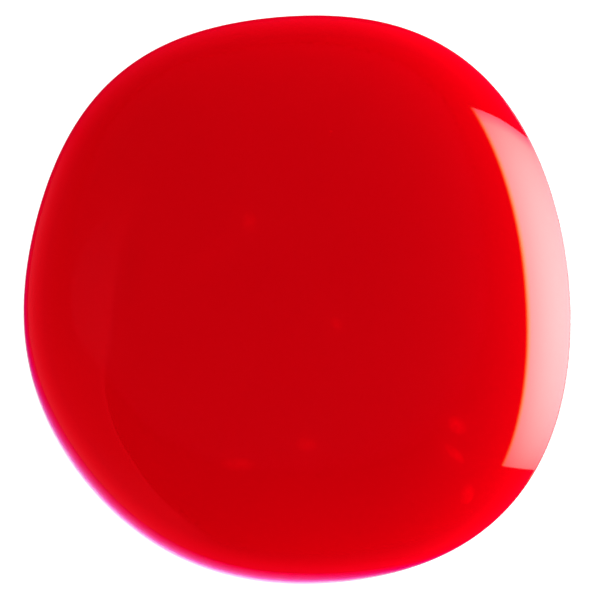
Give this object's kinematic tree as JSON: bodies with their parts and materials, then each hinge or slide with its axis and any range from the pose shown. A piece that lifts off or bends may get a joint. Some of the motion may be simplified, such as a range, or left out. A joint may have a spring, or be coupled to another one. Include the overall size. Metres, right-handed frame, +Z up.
{
  "type": "nail polish drop",
  "caption": "Drop of glossy red nail lacquer lying flat: soft body, closed gloss skin, feathered edge film and pigment flecks.",
  "frame": {"origin": "centre of the flat underside, in the middle of the outline's box, on the surface that the drop lies on", "axes": "+Z up out of the surface, +Y along the longer side of the outline, +X across it"},
  "size_m": [0.018, 0.0186, 0.0012],
  "materials": {
    "lacquer": "wet red creme lacquer",
    "gloss_skin": "high gloss red creme",
    "thin_film": "thin translucent pink-red film, glossy",
    "pigment": "slightly lighter red under gloss"
  },
  "bodies": {
    "root": {"lacquer_body": "lacquer", "surface_skin": "gloss_skin", "edge_film": "thin_film", "pigment_flecks": "pigment"}
  },
  "joints": []
}
